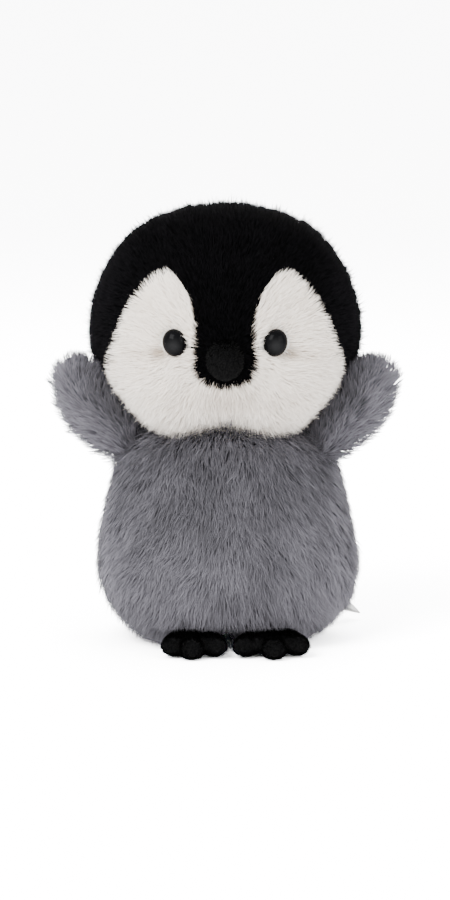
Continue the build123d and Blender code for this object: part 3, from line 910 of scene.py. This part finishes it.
def lathed(name, profile, centre, axis, stretch, tilt):
    """A turned piece about an axis through centre, made oval by stretch and tilted in its plane."""
    axis = Vector(axis).normalized()
    sideways = axis.cross(Vector((0, 0, 1))).normalized()
    up = sideways.cross(axis).normalized()
    turn = circle(48)
    wide, tall = np.cos(turn) * stretch[0], np.sin(turn) * stretch[1]
    run = wide * math.cos(tilt) - tall * math.sin(tilt)
    rise = wide * math.sin(tilt) + tall * math.cos(tilt)
    rings = []
    for radius, depth in profile:
        middle = np.array(centre) + np.array(axis) * depth
        rings.append(middle + np.outer(run * radius, sideways) + np.outer(rise * radius, up))
    piece = ringed(name, rings)
    smooth(piece)
    return piece


def refinish(material, *nodes):
    """Give its finish to each CAD piece that is shown as it is."""
    for node in nodes:
        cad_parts[node].data.materials.clear()
        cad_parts[node].data.materials.append(material)


eye_yaw = math.radians(18)
eye_radius, eye_rise, shank_radius = 6.15 * mm, 5.2 * mm, 2.0 * mm
for side, name, place in ((1, "left", eye_centres[0]), (-1, "right", eye_centres[1])):
    eye_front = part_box(f"eye_{name}")[0][1]
    outwards = (side * math.sin(eye_yaw), -math.cos(eye_yaw), 0.0)
    rim = (side * 0.0261, eye_front + 6.3 * mm, place[2])
    angles = np.linspace(0, 1.53, 14)
    dome = [(eye_radius * math.cos(a), 1.2 * mm + eye_rise * math.sin(a)) for a in angles]
    shank = [
        (1.9 * mm, -12 * mm), (shank_radius, -11.6 * mm), (shank_radius, 0.0),
        (5.9 * mm, 0.0), (eye_radius, 0.4 * mm),
    ]
    eye = lathed(f"eye_{name}_moulding", shank + dome, rim, outwards, (1.04, 1.2), side * 0.25)
    eye.data.materials.append(eye_plastic)
    finish_as(eye, "head", "eye_plastic", f"eye_{name}")

washer_plastic = rough_material(
    "washer plastic", (0.55, 0.55, 0.53), (0.62, 0.62, 0.60), 90.0, 2.0, 0.05 * mm, 0.4)
refinish(washer_plastic, "eye_washer_left", "eye_washer_right")

# ---------------------------------------- flippers
# Flat stuffed mittens of the same grey fur, two faces sewn together round the edge and set
# into the shoulder. They stand up beside the cheeks, with the nap running to the tip.
flipper_spine = np.array([
    (0.0485, 0.1010, 6.0), (0.0518, 0.1055, 8.5), (0.0566, 0.1112, 10.4), (0.0626, 0.1174, 11.8),
    (0.0684, 0.1235, 12.6), (0.0731, 0.1300, 12.5), (0.0763, 0.1366, 11.7), (0.0781, 0.1427, 9.9),
    (0.0785, 0.1475, 7.5), (0.0783, 0.1508, 4.0),
])
flipper_forward = sum(joint_box("flipper_stuffing_left"))[1] / 2
heading = np.gradient(flipper_spine[:, :2], axis=0)
heading /= np.linalg.norm(heading, axis=1, keepdims=True)
turn = circle(32)
for side, name in ((1, "left"), (-1, "right")):
    rings = []
    for (x, z, radius), (run, rise) in zip(flipper_spine, heading):
        across = np.cos(turn) * radius * mm
        depths = flipper_forward + np.sin(turn) * (2.2 + 0.30 * radius) * mm
        rings.append(ring(side * (x + rise * across), depths, z - run * across)[::side])
    filling = ringed(f"flipper_filling_{name}", rings)
    stuff(filling, 2.5 * mm, 1.2 * mm)
    body = f"flipper_{name}"
    as_filling(filling, body, f"flipper_stuffing_{name}")
    surface = Surface(filling)
    rng = np.random.default_rng(40 + side)
    roots, normals = surface.scatter(2.4, rng)
    count = len(roots)
    near = np.abs(roots[:, 2:3] - flipper_spine[:, 1]).argmin(axis=1)
    nap = np.column_stack([side * heading[near, 0], np.zeros(count), heading[near, 1]])
    middle_x = np.interp(roots[:, 2], flipper_spine[:, 1], flipper_spine[:, 0])
    outer = (side * roots[:, 0] - middle_x) / (10 * mm)
    nap[:, 0] += side * outer * 0.45
    swirl = wander(roots, 45, 22 * mm) * 0.3 + wander(roots, 46, 8 * mm) * 0.25
    nap = turned(combed(nap, normals), normals, swirl)
    length = (9.5 + 1.0 * wander(roots, 47, 10 * mm) + rng.normal(0, 1.0, count)) * mm
    tip = fade(roots[:, 2], 140 * mm, 152 * mm)
    length = length * (1 - 0.35 * tip)
    lean_root = rng.normal(36, 7, count)
    lean_tip = rng.normal(72, 9, count) - 12 * tip
    path = grow(roots, normals, nap, length, lean_root, lean_tip, rng)
    # Painted shade: the fibres are darker on the inner side, where the flipper meets the cheek, and
    # lighter towards the outer edge.
    tone = 0.28 + 0.40 * outer + 0.10 * wander(roots, 48, 14 * mm) + rng.normal(0, 0.15, count)
    tone = np.clip(tone, 0, lightest)
    width = rng.normal(0.46, 0.05, count) * mm
    faces = (
        (f"flipper_front_{name}", lambda p: p[:, 1] < flipper_forward),
        (f"flipper_back_{name}", lambda p: p[:, 1] >= flipper_forward),
    )
    owner = panel_of(roots, faces)
    cover(surface, faces, owner, (path, normals, width, tone), body, [grey_cloth] * 2, rng)

# ---------------------------------------- feet
# Black velour feet with three soft toes each, gathered between the toes, on a firm flat sole
# of the same cloth. The body's fur hangs over their backs.
toe_tips = {
    "right": ((-0.0275, -0.0705), (-0.0175, -0.0755), (-0.0048, -0.0712)),
    "left": ((0.0098, -0.0712), (0.0258, -0.0755), (0.0388, -0.0690)),
}
heel_y, tip_radius, web_back = -0.050, 4.9 * mm, 3.6 * mm
toe_lifts = (0.7, 0.0, 0.7, 1.6, 1.6)
sole_top = 1.6 * mm
turn = circle(24)
for side, (name, tips) in enumerate(toe_tips.items()):
    heel_x = float(np.mean([x for x, _ in tips]))
    webs = [((a[0] + b[0]) / 2, (a[1] + b[1]) / 2 + web_back) for a, b in zip(tips, tips[1:])]
    shells = []
    for number, (x, y) in enumerate(list(tips) + webs):
        lift = toe_lifts[number] * mm
        ends = (np.array([x + (heel_x - x) * 0.45, heel_y]), np.array([x, y + tip_radius]))
        rings = []
        for share in np.linspace(-0.16, 1.16, 18):
            cap = math.sqrt(max(0.02, 1 - (max(0.0, abs(share - 0.5) - 0.5) / 0.165) ** 2))
            at = ends[0] + (ends[1] - ends[0]) * share
            wide = (6.2 - 1.0 * share) * mm * cap
            tall = ((5.3 - 0.7 * share) * mm - lift) * cap
            height = 1.5 * mm + (4.8 - 0.5 * share) * mm + lift
            rings.append(ring(at[0] + np.cos(turn) * wide, at[1], height + np.sin(turn) * tall))
        shells.append(ringed(f"toe_{name}_{number}", rings))
    foot_points = np.vstack([places(shell.data) for shell in shells])
    foot_faces, shift = [], 0
    for shell in shells:
        foot_faces += [tuple(int(c) + shift for c in p.vertices) for p in shell.data.polygons]
        shift += len(shell.data.vertices)
        bpy.data.objects.remove(shell)
    foot_points[:, 2] = np.maximum(foot_points[:, 2], 1.7 * mm)
    foot = new_piece(f"foot_filling_{name}", foot_points, foot_faces)
    stuff(foot, 1.4 * mm, 0.5 * mm)
    lifted = places(foot.data)
    lifted[:, 2] = np.maximum(lifted[:, 2], sole_top)
    set_places(foot.data, lifted)
    as_filling(foot, "body", f"foot_stuffing_{name}")
    nodes = [f"foot_upper_{name}", f"foot_sole_{name}"]
    velour_over(f"foot_{name}", Surface(foot), 6.0, 1.5 * mm, "body", nodes, 60 + side, (0, -1, -0.4))

# ---------------------------------------- label
# A folded strip of white satin ribbon, caught in the seam behind the toy's left side. It
# curls a little where it hangs free.
label_turn = math.radians(35)
label_out = np.array([math.cos(label_turn), math.sin(label_turn), 0])
label_side = np.array([-math.sin(label_turn) * 0.92, math.cos(label_turn) * 0.92, 0.39])
label_root = np.array([0.0509767, 0.0356943, 0.012])
label_length, label_half = 24 * mm, 7 * mm
label_rows, label_columns = 24, 9
label_points, label_faces = [], []
for leaf in (0, 1):
    for share in np.linspace(0, 1, label_rows):
        run = share * label_length
        drop = -run * 0.10 - 2.2 * mm * share**2 + 0.8 * mm * math.sin(share * 5.0)
        section = label_root + label_out * (run * 0.985) + (0, 0, drop)
        gape = 0.28 + 0.9 * math.sin(math.pi * min(1.0, share * 1.02)) ** 2
        gape = gape * mm * (1 - 2 * leaf) * (share < 0.999)
        for cross in np.linspace(-1, 1, label_columns):
            sag = -0.6 * mm * cross**2 * share
            label_points.append(section + label_side * cross * label_half + (0, 0, gape + sag))
for leaf in (0, 1):
    for row in range(label_rows - 1):
        for cell in range(label_columns - 1):
            a = (leaf * label_rows + row) * label_columns + cell
            label_faces.append((a, a + 1, a + label_columns + 1, a + label_columns))
label = new_piece("ribbon_label", label_points, label_faces)
ribbon_body = label.modifiers.new("ribbon", "SOLIDIFY")
ribbon_body.thickness = 0.25 * mm
settle(label)
smooth(label)
ribbon, ribbon_tree, ribbon_shader = plain_nodes("satin ribbon")
ribbon_colour, _ = mottled(ribbon_tree, (0.82, 0.82, 0.81), (0.92, 0.92, 0.91), 40.0, 2.0)
ribbon_spot = add(ribbon_tree, "TexCoord").outputs["Object"]
ribbon_weave = add(ribbon_tree, "TexWave", {"Vector": ribbon_spot, "Scale": 900.0})
ribbon_rise = add(ribbon_tree, "Bump", {"Distance": 0.03 * mm, "Height": ribbon_weave.outputs["Fac"]})
feed(ribbon_tree, ribbon_shader, {
    "Base Color": ribbon_colour, "Normal": ribbon_rise.outputs["Normal"], "Roughness": 0.35})
label.data.materials.append(ribbon)
finish_as(label, "label", "label_ribbon", "care_label")

# ---------------------------------------- thread and pouch
# The neck is gathered on a ring of strong grey thread, the back is closed with a ladder
# stitch, and a cotton pouch of plastic pellets lies low in the body to weight it.
thread_finish = rough_material(
    "grey thread", (0.05, 0.05, 0.055), (0.09, 0.088, 0.10), 700.0, 2.0, 0.1 * mm, 0.8)
refinish(thread_finish, "neck_thread", "closing_stitches")

pouch_low, pouch_high = joint_box("pellet_pouch")
pouch_middle, pouch_half = (pouch_low + pouch_high) / 2, (pouch_high - pouch_low) / 2
pouch_rings = []
turn = circle(48)
for angle in np.linspace(-np.pi / 2 + 0.08, np.pi / 2 - 0.08, 16):
    wide = math.cos(angle) ** 0.6 * pouch_half[0] * 0.94
    pouch_rings.append(ring(
        pouch_middle[0] + wide * np.cos(turn), pouch_middle[1] + wide * np.sin(turn),
        pouch_middle[2] + pouch_half[2] * 0.8 * math.sin(angle)))
pouch = ringed("pouch", pouch_rings)
stuff(pouch, 4 * mm, 1.0 * mm)
pouch_cotton = rough_material(
    "pouch cotton", (0.62, 0.60, 0.55), (0.74, 0.72, 0.67), 320.0, 4.0, 0.6 * mm, 0.9)
pouch.data.materials.append(pouch_cotton)
finish_as(pouch, "body", "pouch_cloth", "pellet_pouch")
